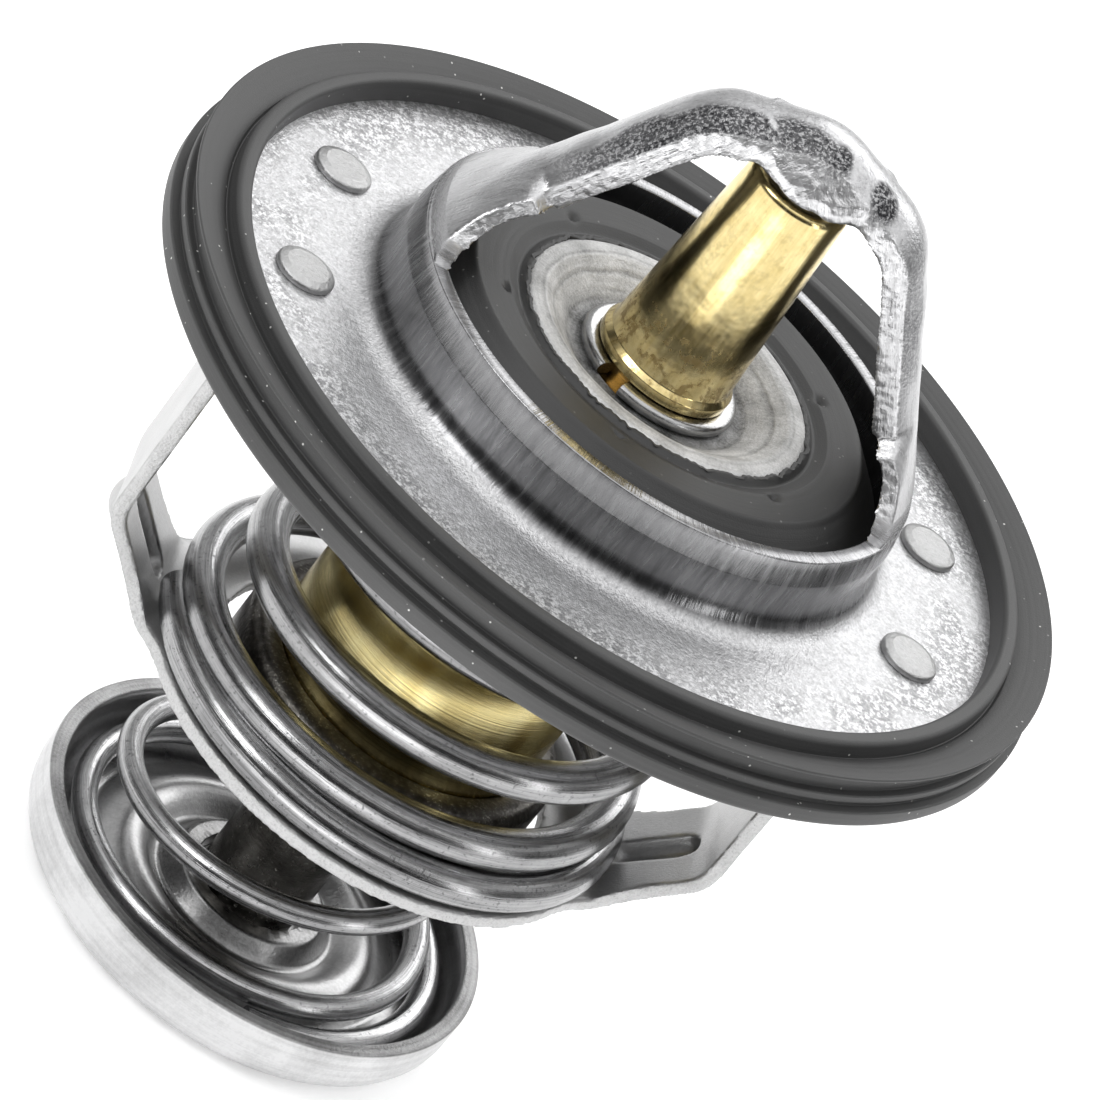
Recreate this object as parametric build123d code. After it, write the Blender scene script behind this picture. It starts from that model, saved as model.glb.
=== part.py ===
from build123d import *
import math
import os

# Wax-pellet engine thermostat with a main valve, a sprung bypass dish and a strap frame.
# Millimetres, Z up, Z = 0 on the underside of the bypass dish, the bridge along X.

# Bypass dish, one pressing
dish_r = 17.2
dish_sheet = 1.15
dish_rim_height = 4.7
dish_corner_r = 4.2
channel_in_r = 12.2
web_shift = 0.46
crest_r = 9.2
crest_rise = 1.8
crest_under_r = 1.4
well_r = 6.9
hub_r = 5.7
hub_rise = 1.6
hub_round = 0.5

# Bypass stem and its clip
stem_r = 3.95
stem_gap = 0.45
stem_head_r = 4.6
stem_head_height = 0.7
stem_tip_z = 0.3
clip_height = 0.8
clip_z = 0.75
clip_groove_depth = 0.7
clip_reach = 1.6
clip_gap_start = -125.0
clip_gap_angle = 70.0
clip_room = 0.12

# Bypass spring, a cone of round wire
bypass_wire = 1.85
bypass_length = 14.75
bypass_seat_r = 14.2
bypass_top_r = 9.0
bypass_start_angle = -80.6
bypass_lean = -0.7

# Wax element: steel cup, wax and diaphragm
cup_r = 12.2
cup_sheet = 0.9
cup_height = 7.2
cup_shoulder_r = 1.9
cup_corner_r = 2.4
wax_depth = 2.6
diaphragm_thickness = 0.9

# Turned brass guide, its plug and the piston
guide_r = 10.05
guide_body_height = 27.0
guide_neck_r = 7.5
guide_taper_height = 3.1
guide_shoulder_height = 36.2
guide_land_r = 4.9
guide_land_height = 0.7
guide_tip_r = 3.65
guide_tip_height = 15.6
guide_tip_round = 0.5
piston_r = 2.2
piston_gap = 0.05
piston_chamfer = 0.4
funnel_r = 5.0
funnel_height = 3.7
plug_length = 9.0
washer_thickness = 1.0

# Main valve: steel disc, moulded rubber and snap ring
disc_sheet = 1.0
disc_hole_r = 5.4
disc_fit = 0.03
disc_dish_r = 6.6
disc_crest_in_r = 9.4
disc_crest_out_r = 10.5
disc_crest_rise = 1.8
disc_step_r = 11.4
disc_step_rise = 1.1
disc_bend_r = 14.5
disc_edge_r = 17.0
disc_edge_drop = 2.2
disc_round = 0.6
disc_bend_round = 1.2
rubber_start_r = 10.6
rubber_start_drop = 0.05
rubber_step_rise = 0.35
rubber_ridge_r = 12.3
rubber_ridge_rise = 0.76
rubber_top_r = 14.9
rubber_rise = 0.95
rubber_wrap = 0.75
rubber_under_drop = 0.22
rubber_under_rise = 0.68
rubber_wrap_in_r = 15.5
rubber_round = 0.4
skirt_round = 0.25
seat_gap = 0.12
ring_height = 0.95
ring_groove_depth = 0.5
ring_reach = 1.5
ring_gap_start = -133.6
ring_gap_angle = 20.0
ring_room = 0.05

# Flange, collar and bridge, one pressing
sheet = 1.1
flange_rim_r = 31.4
collar_r = 19.1
collar_foot_r = 3.9
collar_height = 4.1
lip_r = 18.75
lip_height = 1.9
lip_bend_r = 1.0
seat_height = 2.7
strip_width = 6.2
strip_round_r = 4.75
strip_start = 5.2
bridge_knee_x = 8.3
bridge_knee_height = 17.2
bridge_peak_height = 20.0
bridge_knee_r = 6.0
bridge_peak_r = 7.0
root_height = 6.6
root_bulge = 0.14
root_sink = 0.6
root_thin = 0.77
root_lap = 0.05
window_middle_height = 2.97
window_low_x = 17.3
window_middle_x = 16.4
window_top_x = 14.3
hood_length = 9.6
hood_width = 7.9
hood_corner_r = 3.2
hood_shoulder_r = 2.5
hood_drop = 1.3
hood_hang = 4.15
hood_edge_r = 12.0
boss_mouth_r = 3.0
boss_mouth_depth = 1.1
boss_mouth_step = 0.55
pocket_depth = 2.2
pocket_gap = 0.02

# Seal ring, moulded round the flange rim
seal_wall = 2.1
seal_height = 4.3
seal_band_height = 1.4
seal_round = 0.3
seal_rib_step = 0.5
seal_rib_rise = 0.4
seal_rib_height = 0.6
seal_groove_depth = 0.7
seal_neck_step = 0.4
seal_land_step = 0.4
seal_land_drop = 0.2
seal_land_thickness = 0.3
seal_land_slope = 0.9
seal_ditch_width = 0.3
seal_ditch_wall = 0.1
seal_ditch_depth = 0.25
seal_grip = 2.3
seal_lip_width = 1.15
seal_under_grip = 2.4
seal_under = 1.4

# Lower frame, one strap bent down from the flange and round the element
frame_sheet = 1.05
frame_leg_inset = 3.0
frame_leg_width = 9.4
frame_depth = 29.7
frame_elbow_height = 6.1
frame_ring_r = 17.7
frame_ring_hole_r = 13.0
frame_bend_x = 18.1
frame_blend_r = 6.0
frame_elbow_r = 3.5
frame_toe_r = 2.5
frame_foot_bend_r = 2.2
foot_gap = 2.0
foot_depth = 6.4
foot_angle = 24.0
foot_notch = 0.6
rib_r = 2.2
rib_sink = 0.9
rib_groove_r = 1.2
rib_length = 4.2

# Rivets that hold the frame to the flange
rivet_inset = 3.65
rivet_side = 2.3
rivet_r = 1.45
rivet_head_r = 2.1
rivet_head_height = 0.6
rivet_edge_height = 0.24
rivet_top_r = 1.47
rivet_sink = 0.63

# Main spring
main_wire = 2.9
main_seat_r = 16.75
main_top_r = 13.4
main_start_angle = -173.6
main_lean = 1.0
spring_room = 0.05

# Heights and radii that follow from the sizes above
cup_z = dish_sheet + bypass_length
cup_top_z = cup_z + cup_height
cup_inner_r = cup_r - cup_sheet
wax_z = cup_z + cup_sheet
diaphragm_z = wax_z + wax_depth
guide_z = diaphragm_z + diaphragm_thickness
shoulder_z = cup_z + guide_shoulder_height
disc_top_z = shoulder_z + disc_sheet
flange_z = shoulder_z - seat_height
flange_under_z = flange_z - sheet
lip_z = flange_z + collar_height + lip_height
peak_z = lip_z + bridge_peak_height
crown_z = peak_z - bridge_peak_r * (
    math.hypot(bridge_knee_x, bridge_peak_height - bridge_knee_height) / bridge_knee_x - 1
)
boss_z = crown_z - hood_hang
pocket_top_z = boss_z + pocket_depth
land_z = disc_top_z + ring_height + 2 * ring_room
tip_z = land_z + guide_land_height + guide_tip_height
bore_r = piston_r + piston_gap
plug_z = guide_z + funnel_height
washer_z = plug_z + plug_length
piston_z = washer_z + washer_thickness + piston_gap
frame_z = flange_under_z - frame_depth
frame_seat_z = frame_z + frame_sheet
disc_flat_under_z = disc_top_z + disc_step_rise - disc_sheet
seal_z = flange_under_z - seal_under
seal_r = flange_rim_r + seal_wall
dish_in_corner_r = dish_corner_r - dish_sheet
dish_corner_mid_r = dish_r - dish_corner_r
foot_out_r = flange_rim_r - seal_under_grip - foot_gap
foot_in_r = foot_out_r - foot_depth
frame_leg_x = foot_out_r - frame_leg_inset
rivet_x = foot_out_r - rivet_inset
rivet_y = frame_leg_width / 2 + rivet_side


def section(points, rounds=None):
    """Closed face from (radius, height) points, with a corner radius for chosen points."""
    face = make_face(Polyline(*points, close=True))
    for index, radius in (rounds or {}).items():
        corner = face.vertices().sort_by_distance((*points[index], 0))[0]
        face = fillet(corner, radius)
    return Plane.XZ * face


def turned(points, rounds=None):
    """Solid of revolution about the Z axis."""
    return revolve(section(points, rounds), Axis.Z)


def sheet_section(points, radii, thickness, side):
    """Closed section of bent sheet, from the bent line of one of its faces."""
    line = FilletPolyline(*points, radius=radii)
    return Plane.XZ * make_face(offset(line, thickness, side=side, closed=True))


def below(points, distance):
    """Line parallel to one of (radius, height) points that runs outwards, on its lower side."""
    lines = []
    for (x0, y0), (x1, y1) in zip(points, points[1:]):
        length = math.hypot(x1 - x0, y1 - y0)
        lines.append(((y1 - y0) / length, -(x1 - x0) / length))
    normals = [lines[0], *lines, lines[-1]]
    moved = []
    for (x, y), (ax, ay), (bx, by) in zip(points, normals, normals[1:]):
        scale = distance / (1 + ax * bx + ay * by)
        moved.append((x + scale * (ax + bx), y + scale * (ay + by)))
    return moved


def slab(face, width):
    """Solid of a face in the XZ plane, centred on it."""
    return extrude(face, width / 2, both=True)


def eased(knots, turn):
    """Smooth value at a turn from knots of (turn, value), without overshoot."""
    last = len(knots) - 1
    index = max(i for i in range(last) if knots[i][0] <= turn or i == 0)
    t0, v0 = knots[index]
    t1, v1 = knots[index + 1]

    def rate(i):
        return (knots[i + 1][1] - knots[i][1]) / (knots[i + 1][0] - knots[i][0])

    def slope(i):
        if i in (0, last) or rate(i - 1) * rate(i) <= 0:
            return 0.0
        return 2 * rate(i - 1) * rate(i) / (rate(i - 1) + rate(i))

    step = t1 - t0
    s = (turn - t0) / step
    blend = s * s * (3 - 2 * s)
    leave = step * slope(index) * s * (1 - s) ** 2
    arrive = -step * slope(index + 1) * s * s * (1 - s)
    return v0 + (v1 - v0) * blend + leave + arrive


def coil(radii, heights, start_angle, wire, lean, steps=10):
    """Right-handed spring of round wire; radii and heights are knots along its turns."""
    turns = heights[-1][0]
    count = math.ceil(turns * steps)
    low = heights[0][1]
    high = heights[-1][1]
    points = []
    for i in range(count + 1):
        turn = turns * i / count
        angle = math.radians(start_angle + 360 * turn)
        radius = eased(radii, turn)
        z = eased(heights, turn)
        bow = lean * math.sin(math.pi * (z - low) / (high - low))
        points.append((bow + radius * math.cos(angle), radius * math.sin(angle), z))
    path = Spline(*points)
    wire_end = Plane(path @ 0, z_dir=path % 0) * Circle(wire / 2)
    return sweep(wire_end, path)


def make_bypass_dish():
    """Spring dish with a wavy web and a drawn hub that slides on the stem."""
    floor = dish_sheet
    wall = dish_r - dish_sheet
    crest = floor + crest_rise
    hub_top = floor + hub_rise
    recess_r = stem_r + clip_reach + clip_room
    recess_z = clip_z + clip_height + clip_room
    points = [
        (stem_r + stem_gap, recess_z),
        (recess_r, recess_z),
        (recess_r, 0),
        (well_r + web_shift, 0),
        (crest_r, crest - dish_sheet),
        (channel_in_r - web_shift, 0),
        (dish_r, 0),
        (dish_r, dish_rim_height),
        (wall, dish_rim_height),
        (wall, floor),
        (channel_in_r, floor),
        (crest_r, crest),
        (well_r, floor),
        (hub_r, hub_top),
        (stem_r + stem_gap, hub_top),
    ]
    rounds = {
        4: crest_under_r,
        6: dish_corner_r,
        9: dish_in_corner_r,
        11: crest_under_r + dish_sheet,
        13: hub_round,
    }
    return turned(points, rounds)


def make_bypass_stem():
    """Steel stud welded under the cup, with a groove for the clip."""
    groove_r = stem_r - clip_groove_depth
    return turned([
        (0, stem_tip_z),
        (groove_r, stem_tip_z),
        (groove_r, clip_z + clip_height),
        (stem_r, clip_z + clip_height),
        (stem_r, cup_z - stem_head_height),
        (stem_head_r, cup_z - stem_head_height),
        (stem_head_r, cup_z),
        (0, cup_z),
    ])


def open_ring(inner_r, outer_r, low_z, height, gap_start, gap_angle):
    """Flat ring with a gap, as a snap ring or clip has."""
    ring = Pos(0, 0, low_z) * extrude(Circle(outer_r) - Circle(inner_r), height)
    reach = 2 * outer_r
    first = math.radians(gap_start)
    second = math.radians(gap_start + gap_angle)
    wedge = make_face(Polyline(
        (0, 0),
        (reach * math.cos(first), reach * math.sin(first)),
        (reach * math.cos(second), reach * math.sin(second)),
        close=True,
    ))
    return ring - Pos(0, 0, low_z) * extrude(wedge, height)


def make_bypass_clip():
    """Open clip that keeps the dish on the stem."""
    inner_r = stem_r - clip_groove_depth
    return open_ring(inner_r, stem_r + clip_reach, clip_z, clip_height, clip_gap_start, clip_gap_angle)


def make_bypass_spring():
    """Conical spring from the dish channel up to the cup, in about three turns."""
    reach = dish_in_corner_r - bypass_wire / 2 - spring_room
    low = dish_corner_r - math.sqrt(reach ** 2 - max(0, bypass_seat_r - dish_corner_mid_r) ** 2)
    high = cup_z - bypass_wire / 2 - spring_room
    rise = high - low
    radii = [
        (0, bypass_seat_r),
        (0.55, bypass_seat_r - 0.1),
        (1.0, bypass_seat_r - 1.6),
        (1.75, bypass_seat_r - 2.1),
        (2.2, bypass_top_r + 1.7),
        (2.6, bypass_top_r),
        (3.3, bypass_top_r),
    ]
    heights = [
        (0, low),
        (0.55, low + 0.01 * rise),
        (1.0, low + 0.09 * rise),
        (1.75, low + 0.42 * rise),
        (2.2, low + 0.78 * rise),
        (2.6, low + 0.98 * rise),
        (3.3, high),
    ]
    return coil(radii, heights, bypass_start_angle, bypass_wire, bypass_lean)


def make_element_cup():
    """Drawn steel cup whose mouth is rolled over the guide's flange."""
    line = [(guide_r, cup_top_z), (cup_r, cup_top_z), (cup_r, cup_z), (0, cup_z)]
    face = sheet_section(line, [cup_shoulder_r, cup_corner_r], cup_sheet, Side.RIGHT)
    return revolve(face, Axis.Z)


def make_wax_charge():
    """Disc of wax in the bottom of the cup."""
    points = [(0, wax_z), (cup_inner_r, wax_z), (cup_inner_r, diaphragm_z), (0, diaphragm_z)]
    return turned(points, {1: cup_corner_r - cup_sheet})


def make_diaphragm():
    """Rubber sheet over the wax, with a boss that fills the guide's funnel."""
    return turned([
        (0, diaphragm_z),
        (cup_inner_r, diaphragm_z),
        (cup_inner_r, guide_z),
        (funnel_r, guide_z),
        (bore_r, plug_z),
        (0, plug_z),
    ])


def make_rubber_plug():
    """Plug that passes the wax's push up the bore."""
    return turned([(0, plug_z), (bore_r, plug_z), (bore_r, washer_z), (0, washer_z)])


def make_piston_washer():
    """Hard disc between the soft plug and the piston."""
    top = washer_z + washer_thickness
    return turned([(0, washer_z), (bore_r, washer_z), (bore_r, top), (0, top)])


def make_piston():
    """Steel rod held in the bridge's pocket; the guide slides along it."""
    points = [(0, piston_z), (piston_r, piston_z), (piston_r, pocket_top_z), (0, pocket_top_z)]
    rod = turned(points)
    return chamfer(rod.edges().filter_by(GeomType.CIRCLE), piston_chamfer)


def make_guide_body():
    """One brass turning: flange in the cup, thick body, neck and tapered sleeve."""
    flange_top_z = cup_top_z - cup_sheet
    body_top_z = cup_z + guide_body_height
    groove_r = guide_land_r - ring_groove_depth
    points = [
        (funnel_r, guide_z),
        (cup_inner_r, guide_z),
        (cup_inner_r, flange_top_z),
        (guide_r, flange_top_z),
        (guide_r, body_top_z),
        (guide_neck_r, body_top_z + guide_taper_height),
        (guide_neck_r, shoulder_z),
        (disc_hole_r, shoulder_z),
        (disc_hole_r, disc_top_z),
        (groove_r, disc_top_z),
        (groove_r, land_z),
        (guide_land_r, land_z),
        (guide_land_r, land_z + guide_land_height),
        (guide_tip_r, tip_z),
        (bore_r, tip_z),
        (bore_r, plug_z),
    ]
    return turned(points, {2: cup_shoulder_r - cup_sheet, 13: guide_tip_round})


def make_valve_disc():
    """Pressed steel disc: sunk centre, crest, step down and sloping edge."""
    crest_z = disc_top_z + disc_crest_rise
    step_z = disc_top_z + disc_step_rise
    line = [
        (disc_hole_r + disc_fit, disc_top_z),
        (disc_dish_r, disc_top_z),
        (disc_crest_in_r, crest_z),
        (disc_crest_out_r, crest_z),
        (disc_step_r, step_z),
        (disc_bend_r, step_z),
        (disc_edge_r, step_z - disc_edge_drop),
    ]
    under = below(line, disc_sheet)
    under[0] = (line[0][0], under[0][1])
    return turned(line + under[::-1], {2: disc_round, 3: disc_round, 5: disc_bend_round, 8: disc_round})


def seat_radius(z):
    """Inner radius of the collar's round foot at a height."""
    bend = collar_foot_r + sheet
    centre_r = collar_r + collar_foot_r
    centre_z = flange_z + collar_foot_r
    return centre_r - math.sqrt(bend ** 2 - (z - centre_z) ** 2)


def make_valve_rubber():
    """Rubber moulded over the disc's edge; its cone closes on the collar."""
    step_z = disc_top_z + disc_step_rise
    skirt_r = seat_radius(shoulder_z) - seat_gap
    under_z = step_z - disc_edge_drop - disc_sheet
    body = turned([
        (rubber_start_r, step_z - disc_sheet / 2),
        (rubber_start_r, disc_top_z + disc_crest_rise - rubber_start_drop),
        (disc_step_r, step_z + rubber_step_rise),
        (rubber_ridge_r, step_z + rubber_ridge_rise),
        (rubber_top_r, step_z + rubber_rise),
        (skirt_r, shoulder_z),
        (skirt_r, shoulder_z - rubber_wrap),
        (disc_edge_r, under_z - rubber_under_drop),
        (rubber_wrap_in_r, under_z + rubber_under_rise),
        (rubber_wrap_in_r, step_z - disc_sheet / 2),
    ], {4: rubber_round, 5: skirt_round, 7: rubber_round})
    return body - make_valve_disc()


def make_snap_ring():
    """Split ring in the guide's groove, on top of the disc."""
    inner_r = guide_land_r - ring_groove_depth
    outer_r = guide_land_r + ring_reach - ring_groove_depth
    low = disc_top_z + ring_room
    return open_ring(inner_r, outer_r, low, ring_height, ring_gap_start, ring_gap_angle)


def make_collar():
    """Flat flange drawn up into the collar that the valve closes on."""
    line = [
        (flange_rim_r, flange_z),
        (collar_r, flange_z),
        (collar_r, flange_z + collar_height),
        (lip_r, lip_z),
    ]
    face = sheet_section(line, [collar_foot_r, lip_bend_r], sheet, Side.LEFT)
    return revolve(face, Axis.Z)


def arm_point(height):
    """Point of the arm's outer line at a height over the lip."""
    share = height / bridge_knee_height
    return (lip_r + share * (bridge_knee_x - lip_r), lip_z + height)


def make_arch():
    """Strip of the bridge, hollow like a gutter and bent to an arch."""
    start = arm_point(strip_start)
    knee = arm_point(bridge_knee_height)
    line = [(-start[0], start[1]), (-knee[0], knee[1]), (0, peak_z), knee, start]
    path = Plane.XZ * FilletPolyline(*line, radius=[bridge_knee_r, bridge_peak_r, bridge_knee_r])
    middle = Pos(0, -strip_round_r)
    ring = middle * (Circle(strip_round_r) - Circle(strip_round_r - sheet))
    gutter = ring & Pos(0, -strip_round_r / 2) * Rectangle(strip_width, strip_round_r)
    return sweep(Plane(path @ 0, x_dir=(0, 1, 0), z_dir=path % 0) * gutter, path)


def make_roots():
    """Fans that carry the arms down into the collar's round lip, beside the pierced windows."""
    top_r, top_z = arm_point(root_height)
    run = lip_r - top_r
    across = sheet / math.cos(math.atan2(run, root_height))
    low_r = lip_r + root_bulge
    end_r = top_r + root_bulge
    cone = turned([
        (lip_r - root_lap, lip_z - root_sink),
        (low_r, lip_z),
        (end_r, top_z),
        (end_r - across, top_z),
        (low_r - across, lip_z),
        (lip_r - root_thin, lip_z - root_sink),
    ])
    middle_z = lip_z + window_middle_height
    edge = ThreePointArc((window_low_x, lip_z), (window_middle_x, middle_z), (window_top_x, top_z))
    outside = Polyline(
        (window_top_x, top_z),
        (low_r + sheet, top_z),
        (low_r + sheet, lip_z - root_sink),
        (window_low_x, lip_z - root_sink),
        (window_low_x, lip_z),
    )
    side = slab(Plane.XZ * make_face(edge + outside), 2 * lip_r)
    return (cone & side) + (cone & side.rotate(Axis.Z, 180))


def make_boss():
    """Hood under the crown, drawn down round the piston's end."""
    top = crown_z - hood_drop
    height = top - boss_z
    across = RectangleRounded(hood_width, 2 * height, hood_shoulder_r)
    barrel = Pos(-hood_length / 2, 0, boss_z) * extrude(Plane.YZ * across, hood_length)
    plan = RectangleRounded(hood_length, hood_width, hood_corner_r)
    post = Pos(0, 0, boss_z) * extrude(plan, height)
    sag = Pos(0, 0, boss_z + hood_edge_r) * Rot(90, 0, 0) * Cylinder(hood_edge_r, hood_width)
    return barrel & post & sag


def make_pocket():
    """Space that the boss leaves for the piston's end."""
    return turned([
        (0, boss_z - boss_mouth_depth),
        (boss_mouth_r, boss_z - boss_mouth_depth),
        (boss_mouth_r, boss_z + boss_mouth_step),
        (piston_r + pocket_gap, boss_z + boss_mouth_depth),
        (piston_r + pocket_gap, pocket_top_z),
        (0, pocket_top_z),
    ])


def at_rivets(shape):
    """Copies of a shape at the four rivet places."""
    places = [(sx * rivet_x, sy * rivet_y) for sx in (1, -1) for sy in (1, -1)]
    return [Pos(x, y, 0) * shape for x, y in places]


def make_rivet():
    """One rivet, countersunk into the foot below and round-headed on the flange."""
    low = flange_under_z - frame_sheet
    top = flange_z + rivet_head_height
    return turned([
        (0, low),
        (rivet_head_r, low),
        (rivet_r, low + rivet_sink),
        (rivet_r, flange_z),
        (rivet_head_r, flange_z),
        (rivet_head_r, flange_z + rivet_edge_height),
        (rivet_top_r, top),
        (0, top),
    ])


def make_flange_bridge():
    """The upper stamping: flange, collar, two fanned arms, strip and boss."""
    body = make_collar() + make_roots() + make_arch() + make_boss()
    body -= make_pocket()
    for rivet in at_rivets(make_rivet()):
        body -= rivet
    return body


def make_frame_rivets():
    """The four rivets that join the flange and the feet."""
    return Compound(at_rivets(make_rivet()))


def make_seal_ring():
    """Moulded rubber ring, a U in section, with a banded rim and a raised inner lip."""
    band_z = seal_z + seal_band_height
    rib_z = band_z + seal_rib_rise
    groove_z = rib_z + seal_rib_height
    top = seal_z + seal_height
    land_z_top = top - seal_land_drop
    groove_r = seal_r - seal_groove_depth
    rib_r_out = seal_r - seal_rib_step
    land_r = seal_r - seal_land_step
    lip_in_r = flange_rim_r - seal_grip
    lip_out_r = lip_in_r + seal_lip_width
    under_r = flange_rim_r - seal_under_grip
    ditch_z = land_z_top - seal_land_slope
    return turned([
        (under_r, seal_z),
        (seal_r, seal_z),
        (seal_r, band_z),
        (groove_r, band_z),
        (groove_r, rib_z),
        (rib_r_out, rib_z),
        (rib_r_out, groove_z),
        (groove_r - seal_neck_step, groove_z),
        (groove_r - seal_neck_step, land_z_top - seal_land_thickness),
        (land_r, land_z_top - seal_land_thickness),
        (land_r, land_z_top),
        (lip_out_r + seal_ditch_width, ditch_z),
        (lip_out_r + seal_ditch_wall, ditch_z - seal_ditch_depth),
        (lip_out_r, top),
        (lip_in_r, top),
        (lip_in_r, flange_z),
        (flange_rim_r, flange_z),
        (flange_rim_r, flange_under_z),
        (under_r, flange_under_z),
    ], {1: seal_round, 13: seal_round, 14: seal_round})


def leg_line():
    """Outer face of the strap in the XZ plane, from foot to foot."""
    half = [
        (frame_bend_x, frame_z),
        (frame_leg_x, frame_z + frame_elbow_height),
        (frame_leg_x, flange_under_z),
        (foot_in_r, flange_under_z),
    ]
    return [(-x, z) for x, z in reversed(half)] + half


def make_feet():
    """Two plates under the flange that the rivets pass through."""
    low = flange_under_z - frame_sheet
    ring = extrude(Circle(foot_out_r) - Circle(foot_in_r), frame_sheet)
    spread = math.tan(math.radians(foot_angle)) * foot_out_r
    fan = make_face(Polyline((0, 0), (foot_out_r, spread), (foot_out_r, -spread), close=True))
    wedge = extrude(fan + fan.rotate(Axis.Z, 180), frame_sheet)
    inner_x = frame_leg_x - frame_foot_bend_r
    slot = Rectangle(foot_out_r - inner_x, frame_leg_width + 2 * foot_notch)
    middle_x = (foot_out_r + inner_x) / 2
    slots = Pos(middle_x, 0) * slot + Pos(-middle_x, 0) * slot
    return Pos(0, 0, low) * (ring & wedge) - Pos(0, 0, low) * extrude(slots, frame_sheet)


def slope_rod(radius, sink, whole):
    """Round-ended rod, or its outer half, along the strap's slope and under its outer face."""
    run = frame_leg_x - frame_bend_x
    slope = math.atan2(frame_elbow_height, run)
    inward = (-math.sin(slope), math.cos(slope))
    x = (frame_leg_x + frame_bend_x) / 2 + sink * inward[0]
    z = frame_z + frame_elbow_height / 2 + sink * inward[1]
    rod = Cylinder(radius, rib_length)
    for end in (-1, 1):
        rod += Pos(0, 0, end * rib_length / 2) * Sphere(radius)
    if not whole:
        rod -= Pos(-radius, 0, 0) * Box(2 * radius, 2 * radius, 2 * (rib_length + radius))
    return Pos(x, 0, z) * Rot(0, 90 - math.degrees(slope), 0) * rod


def make_lower_frame():
    """The strap: a ring round the element, two sloped legs and two riveted feet."""
    radii = [frame_foot_bend_r, frame_elbow_r, frame_toe_r]
    bent = sheet_section(leg_line(), radii + radii[::-1], frame_sheet, Side.LEFT)
    plan = Circle(frame_ring_r) + Rectangle(2 * (frame_leg_x + frame_sheet), frame_leg_width)
    corners = plan.vertices().filter_by(lambda v: abs(v.X) < frame_leg_x)
    plan = fillet(corners, frame_blend_r) - Circle(frame_ring_hole_r)
    strap = slab(bent, 2 * frame_ring_r) & extrude(Pos(0, 0, frame_z) * plan, frame_depth)
    strap += make_feet()
    for turn in (0, 180):
        strap += slope_rod(rib_r, rib_sink, False).rotate(Axis.Z, turn)
        strap -= slope_rod(rib_groove_r, rib_sink, True).rotate(Axis.Z, turn)
    for rivet in at_rivets(make_rivet()):
        strap -= rivet
    return strap


def make_main_spring():
    """Heavy spring from the frame's ring up to the valve disc, closer wound below."""
    low = frame_seat_z + main_wire / 2 + spring_room
    high = disc_flat_under_z - main_wire / 2 - spring_room
    rise = high - low
    radii = [
        (0, main_seat_r),
        (0.6, main_seat_r),
        (1.25, main_seat_r - 1.0),
        (2.25, main_seat_r - 2.3),
        (3.6, main_top_r + 0.3),
        (5.0, main_top_r),
        (5.75, main_top_r),
    ]
    heights = [
        (0, low),
        (0.5, low + 0.01 * rise),
        (1.25, low + 0.09 * rise),
        (2.25, low + 0.27 * rise),
        (3.25, low + 0.5 * rise),
        (4.25, low + 0.76 * rise),
        (5.0, low + 0.95 * rise),
        (5.75, high),
    ]
    return coil(radii, heights, main_start_angle, main_wire, main_lean)


MAKERS = {
    "flange_bridge": make_flange_bridge,
    "seal_ring": make_seal_ring,
    "lower_frame": make_lower_frame,
    "frame_rivets": make_frame_rivets,
    "piston": make_piston,
    "main_spring": make_main_spring,
    "valve_disc": make_valve_disc,
    "valve_rubber": make_valve_rubber,
    "snap_ring": make_snap_ring,
    "guide_body": make_guide_body,
    "element_cup": make_element_cup,
    "wax_charge": make_wax_charge,
    "diaphragm": make_diaphragm,
    "rubber_plug": make_rubber_plug,
    "piston_washer": make_piston_washer,
    "bypass_stem": make_bypass_stem,
    "bypass_clip": make_bypass_clip,
    "bypass_spring": make_bypass_spring,
    "bypass_dish": make_bypass_dish,
}

os.makedirs("parts", exist_ok=True)
for name, maker in MAKERS.items():
    export_step(maker(), f"parts/{name}.step")
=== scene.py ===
import math

import bmesh
import bpy
import numpy as np
from mathutils import Matrix, Vector, noise


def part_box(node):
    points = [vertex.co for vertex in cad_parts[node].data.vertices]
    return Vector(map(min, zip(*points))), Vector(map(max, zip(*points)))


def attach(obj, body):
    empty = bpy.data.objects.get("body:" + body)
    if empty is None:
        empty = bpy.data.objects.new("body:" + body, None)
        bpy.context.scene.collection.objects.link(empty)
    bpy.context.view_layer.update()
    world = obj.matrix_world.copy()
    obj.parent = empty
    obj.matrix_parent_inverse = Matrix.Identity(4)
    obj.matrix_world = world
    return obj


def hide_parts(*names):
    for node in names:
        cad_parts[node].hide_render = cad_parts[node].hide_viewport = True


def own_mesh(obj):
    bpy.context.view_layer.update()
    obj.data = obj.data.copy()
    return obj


# Looks of a wax-pellet engine thermostat. Sizes are in millimetres; meshes are written in metres.

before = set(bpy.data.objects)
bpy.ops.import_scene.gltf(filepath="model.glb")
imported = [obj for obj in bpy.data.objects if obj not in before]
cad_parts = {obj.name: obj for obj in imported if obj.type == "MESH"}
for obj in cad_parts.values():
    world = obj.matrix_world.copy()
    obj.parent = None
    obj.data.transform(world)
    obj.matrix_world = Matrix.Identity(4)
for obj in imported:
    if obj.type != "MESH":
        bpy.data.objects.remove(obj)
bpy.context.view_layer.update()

MM = 0.001
TURN = 2 * math.pi


def low(node):
    """Height of a node's underside."""
    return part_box(node)[0].z / MM


def high(node):
    """Height of a node's top."""
    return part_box(node)[1].z / MM


def reach(node):
    """Largest radius of a round node."""
    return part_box(node)[1].y / MM


# Sizes that several pieces or finishes share

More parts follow.
